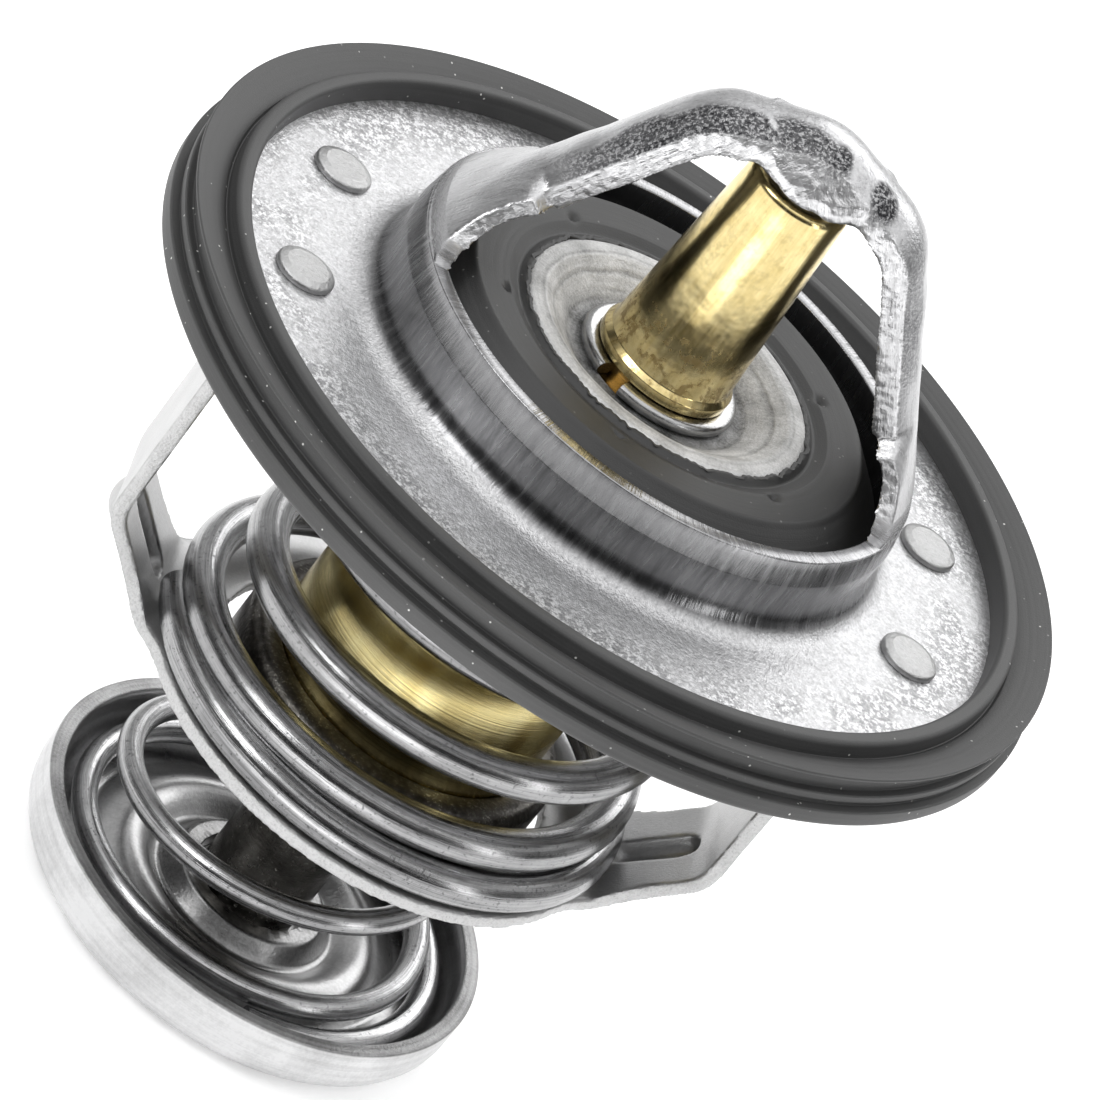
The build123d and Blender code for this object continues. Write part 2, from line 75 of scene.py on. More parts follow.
PRESSED_SHEET = 1.1
FLANGE_TOP = high("seal_ring") - 1.8
FLANGE_UNDER = FLANGE_TOP - PRESSED_SHEET
FLANGE_RIM = 31.4
COLLAR_RADIUS = 19.1
LIP = FLANGE_TOP + 6.0
LIP_RADIUS = 18.75
ARM_TOP = LIP + 10.5
CROWN = high("flange_bridge")
DISC_TOP = 53.1
DISC_SHEET = 1.0
CUP_SHEET = 0.9
SNAP_GROOVE = 4.4
CLIP_GROOVE = 3.25
CLIP_TOP = 1.55


# Node trees

class Field:
    """A value, vector or colour in a node tree; Python arithmetic on it adds nodes to the tree."""

    def __init__(self, tree, socket):
        self.tree = tree
        self.socket = socket

    def maths(self, operation, *values):
        return self.tree.node("ShaderNodeMath", {"operation": operation}, values)

    def __add__(self, other):
        return self.maths("ADD", self, other)

    def __radd__(self, other):
        return self.maths("ADD", other, self)

    def __sub__(self, other):
        return self.maths("SUBTRACT", self, other)

    def __rsub__(self, other):
        return self.maths("SUBTRACT", other, self)

    def __mul__(self, other):
        return self.maths("MULTIPLY", self, other)

    def __rmul__(self, other):
        return self.maths("MULTIPLY", other, self)

    def __truediv__(self, other):
        return self.maths("DIVIDE", self, other)

    def __rtruediv__(self, other):
        return self.maths("DIVIDE", other, self)

    def __pow__(self, other):
        return self.maths("POWER", self, other)

    def __abs__(self):
        return self.maths("ABSOLUTE", self)

    def least(self, other):
        return self.maths("MINIMUM", self, other)

    def most(self, other):
        return self.maths("MAXIMUM", self, other)

    def step(self, start, end):
        """0 below start, 1 above end and smooth between; falls instead if end is below start."""
        settings = {"interpolation_type": "SMOOTHSTEP", "clamp": True}
        if end > start:
            return self.tree.node("ShaderNodeMapRange", settings, (self, start, end, 0.0, 1.0))
        return self.tree.node("ShaderNodeMapRange", settings, (self, end, start, 1.0, 0.0))

    def band(self, start, end, soft):
        """1 between two values and 0 outside them, with soft edges."""
        return self.step(start - soft, start + soft) * self.step(end + soft, end - soft)


class Tree:
    """A node tree that is built from settings, values and fields."""

    def __init__(self, tree):
        self.tree = tree
        tree.nodes.clear()

    def several(self, kind, settings, inputs):
        """Adds one node and returns all its outputs by name."""
        node = self.tree.nodes.new(kind)
        for key, value in settings.items():
            setattr(node, key, value)
        pairs = inputs.items() if isinstance(inputs, dict) else enumerate(inputs)
        for key, value in pairs:
            if isinstance(value, Field):
                self.tree.links.new(value.socket, node.inputs[key])
            elif isinstance(value, tuple):
                node.inputs[key].default_value = (*value, 1.0)
            else:
                node.inputs[key].default_value = value
        return {out.name: Field(self, out) for out in node.outputs if out.enabled}

    def node(self, kind, settings=None, inputs=(), output=None):
        """Adds one node and returns one of its outputs, the first if none is named."""
        made = self.several(kind, settings or {}, inputs)
        return made[output] if output else next(iter(made.values()))

    def vector(self, x, y, z):
        return self.node("ShaderNodeCombineXYZ", {}, (x, y, z))

    def parts(self, vector):
        """The three numbers of a vector."""
        split = self.several("ShaderNodeSeparateXYZ", {}, (vector,))
        return split["X"], split["Y"], split["Z"]

    def blend(self, share, first, second):
        """Colour between two colours."""
        inputs = {0: share, 6: first, 7: second}
        return self.node("ShaderNodeMix", {"data_type": "RGBA"}, inputs, "Result")

    def ends_in(self, kind, shader):
        """Joins a shader to the tree's output node."""
        self.several(kind, {}, {"Surface": shader})


class Finish(Tree):
    """A procedural material, made from what varies over its surface."""

    def __init__(self, name):
        self.material = bpy.data.materials.new(name)
        self.material.use_nodes = True
        super().__init__(self.material.node_tree)
        place = self.node("ShaderNodeTexCoord", {}, (), "Object")
        scaled = {0: place, "Scale": 1 / MM}
        self.place = self.node("ShaderNodeVectorMath", {"operation": "SCALE"}, scaled)
        self.x, self.y, self.z = self.parts(self.place)
        self.r = (self.x * self.x + self.y * self.y) ** 0.5

    def mark(self, name, output="Fac"):
        """A value that the mesh carries as an attribute."""
        return self.node("ShaderNodeAttribute", {"attribute_name": name}, (), output)

    def noise(self, place, scale, detail, rough):
        """Noise about 0.5 at a number of cycles for each millimetre."""
        inputs = {"Vector": place, "Scale": scale, "Detail": detail, "Roughness": rough}
        return self.node("ShaderNodeTexNoise", {}, inputs)

    def cells(self, place, scale):
        """Distance from the middle of the nearest random cell, in cells."""
        return self.node("ShaderNodeTexVoronoi", {}, {"Vector": place, "Scale": scale})

    def angle_wave(self, size):
        """Slow change round the axis, without a seam."""
        return size * self.x / (self.r + 0.01)

    def ringed(self, out, up, around):
        """Place for marks that run round the axis, as a lathe leaves them."""
        return self.vector(self.r * out, self.z * up, self.angle_wave(around))

    def upright(self, around, up, core=0.2):
        """Place for marks that run up a round wall, as a drawing die leaves them."""
        share = around / (self.r + core)
        return self.vector(self.x * share, self.y * share, self.z * up)

    def done(self, colour, metallic, roughness, height=None, bump=0.0, glow=0.0):
        """Joins the shader to the output and returns the material."""
        inputs = {
            "Base Color": colour, "Metallic": metallic, "Roughness": roughness, "Emission Strength": glow,
        }
        if height is not None:
            bumped = {"Height": height, "Distance": MM, "Strength": bump}
            inputs["Normal"] = self.node("ShaderNodeBump", {}, bumped)
        self.ends_in("ShaderNodeOutputMaterial", self.node("ShaderNodeBsdfPrincipled", {}, inputs))
        return self.material


def grey(level):
    """Even grey of a level from 0 to 1."""
    return (level, level, level)


def geometry_tree(name, sizes):
    """Empty Geometry Nodes tree with named inputs, and those inputs as fields."""
    group = bpy.data.node_groups.new(name, "GeometryNodeTree")
    for title, kind in [("Geometry", "NodeSocketGeometry")] + sizes:
        group.interface.new_socket(title, in_out="INPUT", socket_type=kind)
    group.interface.new_socket("Geometry", in_out="OUTPUT", socket_type="NodeSocketGeometry")
    tree = Tree(group)
    return tree, tree.several("NodeGroupInput", {}, {})


def end_geometry(tree, geometry, material):
    """Ends a Geometry Nodes tree in real meshes of one material."""
    real = tree.node("GeometryNodeRealizeInstances", {}, (geometry,))
    coated = tree.node("GeometryNodeSetMaterial", {}, {"Geometry": real, "Material": material})
    tree.several("NodeGroupOutput", {}, (coated,))


# Mesh helpers

def rounded(points):
    """Closed outline with round corners; a point is (radius, height) or (radius, height, corner)."""
    out = []
    steps = 5
    count = len(points)
    for i, point in enumerate(points):
        here = Vector(point[:2])
        corner = point[2] if len(point) > 2 else 0.0
        before = Vector(points[i - 1][:2]) - here
        after = Vector(points[(i + 1) % count][:2]) - here
        if corner <= 0 or before.length < 1e-6 or after.length < 1e-6:
            out.append(tuple(here))
            continue
        angle = before.angle(after)
        cut = min(corner / math.tan(angle / 2), 0.49 * before.length, 0.49 * after.length)
        radius = cut * math.tan(angle / 2)
        before.normalize()
        after.normalize()
        middle = here + (before + after).normalized() * math.hypot(radius, cut)
        first = here + before * cut - middle
        last = here + after * cut - middle
        sweep = first.angle_signed(last)
        for k in range(steps + 1):
            turned_by = -sweep * k / steps
            c, s = math.cos(turned_by), math.sin(turned_by)
            out.append((middle.x + c * first.x - s * first.y, middle.y + s * first.x + c * first.y))
    return out


def dense(points, longest):
    """Outline with its long runs divided."""
    out = []
    for a, b in zip(points, points[1:] + points[:1]):
        count = max(1, math.ceil(math.dist(a, b) / longest))
        for k in range(count):
            out.append((a[0] + (b[0] - a[0]) * k / count, a[1] + (b[1] - a[1]) * k / count))
    return out


def in_scene(name, data):
    """New object in the scene."""
    obj = bpy.data.objects.new(name, data)
    bpy.context.scene.collection.objects.link(obj)
    return obj


def meshed(name, points, edges, faces):
    """New object from points in millimetres."""
    mesh = bpy.data.meshes.new(name)
    mesh.from_pydata([(x * MM, y * MM, z * MM) for x, y, z in points], edges, faces)
    mesh.update()
    return in_scene(name, mesh)


def dressed(piece, material, sharp=35.0):
    """Gives a piece its material, and smooth shading but for its sharp edges."""
    piece.data.materials.clear()
    piece.data.materials.append(material)
    piece.data.polygons.foreach_set("use_smooth", [True] * len(piece.data.polygons))
    piece.data.set_sharp_from_angle(angle=math.radians(sharp))
    piece.data.update()
    return piece


def turned(name, outline, material, segments=240, wobble=None, longest=None):
    """Solid of revolution from a closed outline that runs counter-clockwise in radius and height."""
    outline = rounded(outline)
    if longest:
        outline = dense(outline, longest)
    verts = []
    rows = []
    for r, z in outline:
        if r < 1e-6:
            rows.append([len(verts)] * segments)
            verts.append((0.0, 0.0, z))
            continue
        rows.append(list(range(len(verts), len(verts) + segments)))
        for k in range(segments):
            angle = TURN * k / segments
            rr, zz = wobble(r, z, angle) if wobble else (r, z)
            verts.append((rr * math.cos(angle), rr * math.sin(angle), zz))
    faces = []
    for one, two in zip(rows, rows[1:] + rows[:1]):
        if one[0] == one[1] and two[0] == two[1]:
            continue
        for k in range(segments):
            j = (k + 1) % segments
            corners = (one[k], one[j], two[j], two[k])
            faces.append(tuple(dict.fromkeys(corners)))
    return dressed(meshed(name, verts, [], faces), material)


def tube(rows):
    """Points and faces of a tube through rows of points, closed at both ends."""
    size = len(rows[0])
    points = [point for row in rows for point in row]
    faces = []
    for start in range(0, len(points) - size, size):
        for i in range(size):
            j = (i + 1) % size
            faces.append((start + i, start + j, start + size + j, start + size + i))
    faces.append(tuple(reversed(range(size))))
    faces.append(tuple(range(len(points) - size, len(points))))
    return points, faces


def stands_for(piece, body, slot, *nodes):
    """Says what body a piece rides on and which node it replaces; the slot is not used."""
    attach(piece, body)
    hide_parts(*nodes)
    return piece


def settled(piece):
    """Applies a piece's modifiers."""
    graph = bpy.context.evaluated_depsgraph_get()
    mesh = bpy.data.meshes.new_from_object(piece.evaluated_get(graph))
    old = piece.data
    piece.modifiers.clear()
    piece.data = mesh
    bpy.data.meshes.remove(old)
    return piece


def merged_copy(node, name):
    """Copy of a node's mesh with its loose triangles joined."""
    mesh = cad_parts[node].data.copy()
    mesh.name = name
    piece = in_scene(name, mesh)
    weld = piece.modifiers.new("weld", "WELD")
    weld.merge_threshold = 1e-6
    return settled(piece)


def remeshed(piece, voxel):
    """Even mesh of a piece, whose edges become slightly round."""
    remesh = piece.modifiers.new("even", "REMESH")
    remesh.mode = "VOXEL"
    remesh.voxel_size = voxel * MM
    relax = piece.modifiers.new("relax", "SMOOTH")
    relax.factor = 0.5
    relax.iterations = 2
    return settled(piece)


def eased_where(piece, weights, rounds):
    """Smooths a piece's shape where the weights are high."""
    group = piece.vertex_groups.new(name="ease")
    for index in np.flatnonzero(weights > 0.02):
        group.add([int(index)], float(weights[index]), "REPLACE")
    relax = piece.modifiers.new("ease", "SMOOTH")
    relax.vertex_group = group.name
    relax.factor = 0.5
    relax.iterations = rounds
    return settled(piece)


def points_of(piece):
    """Places in millimetres and outward normals of a piece's vertices."""
    count = len(piece.data.vertices)
    place = np.empty(3 * count)
    outward = np.empty(3 * count)
    piece.data.vertices.foreach_get("co", place)
    piece.data.vertex_normals.foreach_get("vector", outward)
    return place.reshape(-1, 3) / MM, outward.reshape(-1, 3)


def put_points(piece, places):
    """Moves a piece's vertices to places in millimetres."""
    piece.data.vertices.foreach_set("co", (places * MM).ravel())
    piece.data.update()


def marked(piece, name, values):
    """Stores one value for each vertex, for the finishes to read."""
    attribute = piece.data.attributes.new(name, "FLOAT", "POINT")
    attribute.data.foreach_set("value", np.asarray(values, dtype=float))


def ripple(places, scale, seed):
    """Smooth noise about 0 at each place, in cycles for each millimetre."""
    shift = Vector((seed, 0.0, 0.0))
    return np.array([noise.noise(Vector(place) * scale + shift) for place in places])


def fade(values, start, end):
    """0 before start, 1 after end and smooth between, or the reverse."""
    share = np.clip((values - start) / (end - start), 0, 1)
    return share * share * (3 - 2 * share)


def between(place, knots):
    """Value at a place on straight runs between knots of (place, value)."""
    return float(np.interp(place, *zip(*knots)))


# Finishes

def steel_pressing():
    """Bright pressed sheet: galled flange, drawn collar painted darker as shade, and a stretched bridge with
    scuffs and painted shade.
    """
    f = Finish("steel_pressing")
    bore = COLLAR_RADIUS - PRESSED_SHEET
    galled_from, galled_to = 24.6, 29.2
    lean_x, lean_z = 0.85, 0.52
    fine = f.noise(f.place, 4.2, 2.0, 0.7)
    mottle = f.noise(f.place, 1.5, 3.0, 0.75)
    cloud = f.noise(f.place, 0.2, 2.0, 0.55)
    on_flange = f.z.step(FLANGE_TOP + 0.9, FLANGE_TOP + 0.3)
    on_bridge = f.z.step(LIP + 0.2, LIP + 1.2)
    on_collar = (1 - on_flange) * (1 - on_bridge)
    # The collar's bore wall is painted darker: painted shade.
    inside_painted_shade = f.r.step(bore + 0.3, bore) * on_collar
    # A band round the collar's foot crease is painted darker: painted shade and a painted dark reflection of
    # the seal.
    foot = f.z.band(FLANGE_TOP + 0.3, FLANGE_TOP + 1.6, 0.4)
    galled = f.r.band(galled_from, galled_to, 1.6) * on_flange * cloud.step(0.36, 0.56)
    flecks = (0.5 * fine + 0.5 * mottle).step(0.48, 0.58)
    scuffs_with_painted_shade = f.mark("scuffs_with_painted_shade")
    # This mark holds real scuffs on the hood and painted shade along the front shoulder; fine flecks break
    # both up.
    flecked_scuffs_with_painted_shade = scuffs_with_painted_shade * (1 - 0.6 * fine.step(0.48, 0.62))
    out = abs(f.x)
    across_arm = 3.4 * (lean_x * out + lean_z * f.z)
    up_arm = 0.3 * (lean_x * f.z - lean_z * out)
    ways = {0: on_bridge, 4: f.upright(30.0, 0.2, 0.5), 5: f.vector(across_arm, f.y * 3.4, up_arm)}
    way = f.node("ShaderNodeMix", {"data_type": "VECTOR"}, ways, "Result")
    drawn = f.noise(way, 1.0, 3.0, 0.72)
    cut_face = f.mark("cut_face")
    tone = 0.62 + 0.2 * (cloud - 0.5)
    tone = tone + on_flange * (0.16 + 0.6 * (mottle - 0.5) + 0.8 * (fine - 0.5))
    tone = tone + galled * (0.5 * flecks - 0.28) - 0.14 * foot - 0.3 * inside_painted_shade
    # The whole collar wall is painted darker than the flange, as painted shade and dark reflection; the
    # drawn streaks fade on the shaded bore.
    tone = tone + on_collar * (0.6 * (drawn - 0.5) - 0.24) * (1 - 0.75 * inside_painted_shade)
    tone = tone + on_bridge * (0.5 * (drawn - 0.5) + 0.35 * (fine - 0.5) + 0.04)
    tone = tone + cut_face * (0.8 * (drawn - 0.5) + 0.24) - 0.62 * flecked_scuffs_with_painted_shade
    colour = f.blend(tone, (0.03, 0.03, 0.033), (0.74, 0.74, 0.75))
    rough = 0.17 + on_flange * (0.2 + 0.12 * mottle) + 0.18 * on_collar * drawn
    rough = rough + on_bridge * (0.05 + 0.14 * drawn) + 0.2 * flecked_scuffs_with_painted_shade + 0.04 * cut_face
    height = (0.08 * on_flange + 0.03 * on_bridge + 0.16 * scuffs_with_painted_shade) * fine
    height = height + (0.06 * on_collar + 0.03 * on_bridge + 0.05 * cut_face) * drawn
    return f.done(colour, 1.0, rough, height, 0.85)


def strap_steel():
    """Satin strap with fine scratches and bright, torn sheared edges."""
    f = Finish("strap_steel")
    fine = f.noise(f.place, 6.0, 3.0, 0.65)
    scratches = f.noise(f.vector(f.x * 4.0, f.y * 6.0, f.z * 0.3), 1.0, 4.0, 0.7)
    cloud = f.noise(f.place, 0.3, 2.0, 0.5)
    cut_face = f.mark("cut_face")
    tone = 0.76 + 0.4 * (scratches - 0.5) + 0.2 * (cloud - 0.5)
    tone = tone + cut_face * (0.9 * (fine - 0.5) + 0.2)
    colour = f.blend(tone, (0.03, 0.03, 0.033), grey(0.66))
    rough = 0.24 + 0.14 * scratches + 0.2 * cut_face
    height = 0.04 * fine + 0.03 * scratches + cut_face * fine * 0.14
    return f.done(colour, 0.75, rough, height, 0.7)


def wire_steel(name, dark, light):
    """Drawn wire with marks along it; 'rim' and 'along' are the wire's own attributes."""
    f = Finish(name)
    x, y, _ = f.parts(f.mark("rim", "Vector"))
    along = f.mark("along") / MM
    streaks = f.noise(f.vector(x * 3.0, y * 3.0, along * 0.04), 2.0, 3.0, 0.75)
    bands = f.noise(f.vector(x, y, along * 0.05), 1.2, 2.0, 0.6)
    spots = f.noise(f.place, 0.9, 2.0, 0.65)
    pits = f.noise(f.place, 4.0, 1.0, 0.65).step(0.6, 0.72)
    uneven = 2.1 * (streaks - 0.5) + 1.1 * (bands - 0.5) + 0.5 * (spots - 0.5)
    tone = 0.5 * (dark + light) + (light - dark) * uneven - 0.2 * pits
    colour = f.blend(tone, (0.02, 0.02, 0.022), (0.7, 0.7, 0.705))
    rough = 0.08 + 0.24 * streaks + 0.06 * spots
    return f.done(colour, 1.0, rough, 0.05 * streaks, 0.5)


def turned_brass():
    """Turned brass: bright on the thick body, drawn, dented and stained on the sleeve, with painted shade at
    the snap ring's groove.
    """
    f = Finish("turned_brass")
    foot = high("snap_ring")
    tool_marks = f.noise(f.ringed(0.3, 3.6, 0.12), 1.5, 3.0, 0.75)
    drawn = f.noise(f.upright(9.0, 0.12), 1.4, 3.0, 0.65)
    rubs = f.noise(f.upright(3.0, 0.05), 1.5, 2.0, 0.6)
    cloud = f.noise(f.place, 0.5, 3.0, 0.65)
    dents = f.noise(f.place, 0.55, 2.0, 0.5)
    on_sleeve = f.z.step(foot - 0.5, foot + 0.6)
    near_foot = f.z.step(foot + 7.5, foot + 1.5) * on_sleeve
    stained = (near_foot + 0.25 * on_sleeve).least(1.0)
    stains = f.noise(f.place, 1.2, 3.0, 0.7).step(0.49, 0.64) * stained
    # A dark band at the snap ring's groove: painted shade under and behind the ring.
    groove_painted_shade = f.z.band(foot - 1.4, foot + 0.15, 0.2)
    bright = f.blend(0.5 * tool_marks + 1.6 * (rubs - 0.36), (0.56, 0.42, 0.14), (1.0, 0.9, 0.5))
    gold = f.blend(0.8 * drawn + 0.9 * (cloud - 0.4), (0.48, 0.35, 0.11), (0.97, 0.83, 0.46))
    # Real stains and the painted groove shade darken the gold.
    gold = f.blend((0.6 * stains + 0.75 * groove_painted_shade).least(0.9), gold, (0.2, 0.12, 0.04))
    colour = f.blend(on_sleeve.most(groove_painted_shade), bright, gold)
    rough = 0.16 + 0.14 * rubs * (1 - on_sleeve) + on_sleeve * (0.1 * drawn - 0.02) + 0.14 * stains
    height = tool_marks * (1 - on_sleeve) * 0.018
    height = height + on_sleeve * (0.015 * drawn + 0.05 * dents) + near_foot * dents * 0.05
    return f.done(colour, 1.0, rough, height, 0.6)


def dark_cup_steel():
    """Blackened, oily drawn steel with fine pale specks."""
    f = Finish("dark_cup_steel")
    cloud = f.noise(f.place, 0.4, 3.0, 0.7)
    grain = f.noise(f.place, 3.2, 2.0, 0.75)
    specks = f.noise(f.place, 6.0, 1.0, 0.65).step(0.6, 0.7) * cloud.step(0.42, 0.6)
    tone = 0.07 + 0.36 * (cloud - 0.35) + 0.08 * grain.step(0.5, 0.75) + 0.4 * specks
    colour = f.blend(tone, (0.012, 0.010, 0.008), (0.7, 0.67, 0.62))
    return f.done(colour, 0.9, 0.22 + 0.26 * cloud, 0.05 * grain + 0.08 * cloud, 0.8)


def oily_stem_steel():
    """Turned stud, brown-grey with oil, still shiny."""
    f = Finish("oily_stem_steel")
    cloud = f.noise(f.place, 0.35, 4.0, 0.65)
    marks = f.noise(f.vector(f.x, f.y, f.z * 5.0), 1.2, 3.0, 0.6)
    specks = f.noise(f.place, 5.0, 3.0, 0.65).step(0.64, 0.7)
    tone = 0.2 + 0.9 * (cloud - 0.4) + 0.2 * (marks - 0.5) + 0.5 * specks
    colour = f.blend(tone, (0.03, 0.026, 0.02), (0.6, 0.58, 0.54))
    height = 0.03 * marks + 0.08 * cloud + 0.03 * specks
    return f.done(colour, 1.0, 0.16 + 0.2 * cloud, height, 0.7)


def moulded_rubber(name, shade, dust):
    """Black moulded rubber with faint rings and pale specks of dust."""
    f = Finish(name)
    rings = f.noise(f.ringed(2.4, 2.8, 0.2), 1.3, 3.0, 0.65)
    smear = f.noise(f.ringed(0.7, 0.7, 9.0), 0.8, 2.0, 0.6)
    grain = f.noise(f.place, 9.0, 1.0, 0.6)
    sparse = f.noise(f.place, 0.31, 2.0, 0.5).step(0.42, 0.6)
    specks = f.cells(f.place, 1.05).step(0.1, 0.06) * sparse * dust
    tone = 0.5 + 1.1 * (rings - 0.5) + 0.7 * (smear - 0.5) + 0.3 * (grain - 0.5)
    colour = f.blend(tone, grey(0.6 * shade), grey(1.5 * shade))
    colour = f.blend(specks, colour, (0.62, 0.62, 0.6))
    rough = 0.38 + 0.18 * rings + 0.1 * smear
    return f.done(colour, 0.0, rough, 0.025 * grain + 0.035 * rings, 0.5)


def frosted_disc():
    """Etched pale steel in the valve's middle, with uneven rings and painted shade round the snap ring."""
    f = Finish("frosted_disc")
    sway = 0.35 * f.noise(f.place, 0.3, 2.0, 0.5)
    rings = f.noise(f.vector(f.r * 1.9 + sway * 3.0, f.z, f.angle_wave(0.5)), 1.0, 3.0, 0.6)
    frost = f.noise(f.place, 4.5, 3.0, 0.8)
    cloud = f.noise(f.place, 0.45, 3.0, 0.6)
    inner_line = (f.r + 1.6 * sway).band(8.55, 8.8, 0.18)
    outer_line = (f.r + 2.2 * sway).band(9.9, 10.1, 0.16)
    lines = inner_line + outer_line
    # Darker towards the snap ring and sleeve: painted shade.
    painted_shade_near_ring = f.r.step(8.0, 6.2)
    tone = 0.68 + 0.5 * (rings - 0.5) + 0.8 * (frost - 0.5) + 0.9 * (cloud - 0.5)
    tone = tone - 0.46 * painted_shade_near_ring - 0.2 * lines
    colour = f.blend(tone, (0.05, 0.05, 0.048), grey(0.8))
    height = 0.08 * frost + 0.06 * rings - 0.03 * lines
    return f.done(colour, 0.4, 0.5 + 0.14 * frost, height, 0.9)


def dish_steel():
    """Satin pressed dish: pale outside, painted darker inside as shade and dark reflection, with a sheared
    rim.
    """
    f = Finish("dish_steel")
    rim_height = high("bypass_dish")
    rings = f.noise(f.ringed(2.6, 2.2, 0.5), 1.1, 3.0, 0.7)
    grain = f.noise(f.place, 3.6, 2.0, 0.7)
    cloud = f.noise(f.place, 0.22, 2.0, 0.6)
    above_floor = f.z.step(0.7, 1.1)
    # The inside is painted darker: painted shade and dark reflection within the dish.
    inside_painted_shade = f.r.step(16.1, 15.6) * above_floor
    rim_face = f.z.step(rim_height - 0.2, rim_height - 0.06) * f.r.step(15.9, 16.1)
    # The hub is painted darker still: painted shade under the cup.
    hub = f.r.step(8.2, 6.2) * above_floor
    turned_look = rings * (1 - 0.8 * inside_painted_shade)
    tone = 0.62 + 0.5 * turned_look + 0.36 * inside_painted_shade * cloud
    tone = tone + 0.7 * (cloud - 0.5) + 0.3 * (grain - 0.5)
    tone = tone - inside_painted_shade * (0.38 + 0.5 * (cloud - 0.5)) - 0.42 * rim_face - 0.2 * hub
    colour = f.blend(tone, (0.02, 0.019, 0.017), (0.78, 0.78, 0.785))
    rough = 0.2 + 0.12 * turned_look + 0.16 * cloud + 0.14 * rim_face
    height = 0.05 * turned_look + 0.03 * grain + 0.1 * rim_face * grain
    return f.done(colour, 1.0, rough, height, 0.6)


def plain_steel(name, tone_middle, rough):
    """Small turned or stamped steel pieces."""
    f = Finish(name)
    marks = f.noise(f.vector(f.x, f.y, f.z * 4.0), 1.6, 3.0, 0.6)
    grain = f.noise(f.place, 5.0, 3.0, 0.65)
    tone = tone_middle - 0.15 + 0.2 * marks + 0.1 * grain
    colour = f.blend(tone, grey(0.03), grey(0.75))
    return f.done(colour, 1.0, rough + 0.12 * marks, 0.04 * marks + 0.03 * grain, 0.5)


def rivet_steel():
    """Rivet tops, dull and a little pitted."""
    f = Finish("rivet_steel")
    grain = f.noise(f.place, 2.6, 4.0, 0.7)
    fine = f.noise(f.place, 7.0, 2.0, 0.6)
    tone = 0.5 + 0.4 * (grain - 0.4) + 0.1 * fine
    colour = f.blend(tone, grey(0.04), grey(0.74))
    return f.done(colour, 1.0, 0.3 + 0.16 * grain, 0.12 * grain + 0.03 * fine, 0.7)


def plain_inside(name, dark, light, rough):
    """Soft pieces sealed inside the element."""
    f = Finish(name)
    cloud = f.noise(f.place, 1.0, 3.0, 0.6)
    return f.done(f.blend(cloud, dark, light), 0.0, rough + 0.1 * cloud, cloud * 0.05, 0.4)


# Springs: a path is worked out here and Geometry Nodes wind the wire along it

def eased(knots, turn):
    """Smooth value at a turn from knots of (turn, value), without overshoot."""
    last = len(knots) - 1
    index = max(i for i in range(last) if knots[i][0] <= turn or i == 0)
    t0, v0 = knots[index]
    t1, v1 = knots[index + 1]

    def rate(i):
        return (knots[i + 1][1] - knots[i][1]) / (knots[i + 1][0] - knots[i][0])

    def slope(i):
        if i in (0, last) or rate(i - 1) * rate(i) <= 0:
            return 0.0
        return 2 * rate(i - 1) * rate(i) / (rate(i - 1) + rate(i))

    step = t1 - t0
    s = (turn - t0) / step
    blend = s * s * (3 - 2 * s)
    leave = step * slope(index) * s * (1 - s) ** 2
    arrive = -step * slope(index + 1) * s * s * (1 - s)
    return v0 + (v1 - v0) * blend + leave + arrive


def coil_path(radii, heights, start_angle, lean):
    """Points of a right-handed spring's middle line."""
    turns, top = heights[-1]
    bottom = heights[0][1]
    count = math.ceil(turns * 72)
    points = []
    for i in range(count + 1):
        turn = turns * i / count
        angle = math.radians(start_angle) + TURN * turn
        radius = eased(radii, turn)
        z = eased(heights, turn)
        bow = lean * math.sin(math.pi * (z - bottom) / (top - bottom))
        points.append((bow + radius * math.cos(angle), radius * math.sin(angle), z))
    return points


def wire_tree():
    """Geometry Nodes that turn a line of points into round wire with its own attributes."""
    sizes = [
        ("Wire radius", "NodeSocketFloat"), ("Sides", "NodeSocketInt"), ("Material", "NodeSocketMaterial"),
    ]
    tree, given = geometry_tree("wound_wire", sizes)

    def keeping(curve, name, kind, value):
        inputs = {"Geometry": curve, "Name": name, "Value": value}
        return tree.node("GeometryNodeStoreNamedAttribute", {"data_type": kind}, inputs)

    line = tree.node("GeometryNodeMeshToCurve", {}, {"Mesh": given["Geometry"]})
    length = tree.node("GeometryNodeSplineParameter", {}, (), "Length")
    line = keeping(line, "along", "FLOAT", length)
    round_size = {"Resolution": given["Sides"], "Radius": given["Wire radius"]}
    circle = tree.node("GeometryNodeCurvePrimitiveCircle", {}, round_size)
    place = tree.node("GeometryNodeInputPosition")
    outward = tree.node("ShaderNodeVectorMath", {"operation": "NORMALIZE"}, (place,))
    circle = keeping(circle, "rim", "FLOAT_VECTOR", outward)
    swept = {"Curve": line, "Profile Curve": circle, "Fill Caps": True}
    end_geometry(tree, tree.node("GeometryNodeCurveToMesh", {}, swept), given["Material"])
    return tree.tree


def run_tree(piece, tree, values):
    """Puts a node tree on a piece, sets its inputs by name and keeps the resulting mesh."""
    modifier = piece.modifiers.new(tree.name, "NODES")
    modifier.node_group = tree
    for item in tree.interface.items_tree:
        if item.in_out == "INPUT" and item.name in values:
            modifier[item.identifier] = values[item.name]
    return settled(piece)


def wound(node, tree, material, wire, sides, radii, shares, start_angle, lean):
    """Spring of round wire between a node's ends, from knots of radius and share of its rise."""
    seat = low(node) + wire / 2
    rise = high(node) - wire / 2 - seat
    path = coil_path(radii, [(turn, seat + share * rise) for turn, share in shares], start_angle, lean)
    edges = [(i, i + 1) for i in range(len(path) - 1)]
    piece = meshed(node + "_wire", path, edges, [])
    run_tree(piece, tree, {"Wire radius": wire / 2 * MM, "Sides": sides, "Material": material})
    return dressed(piece, material, 50.0)


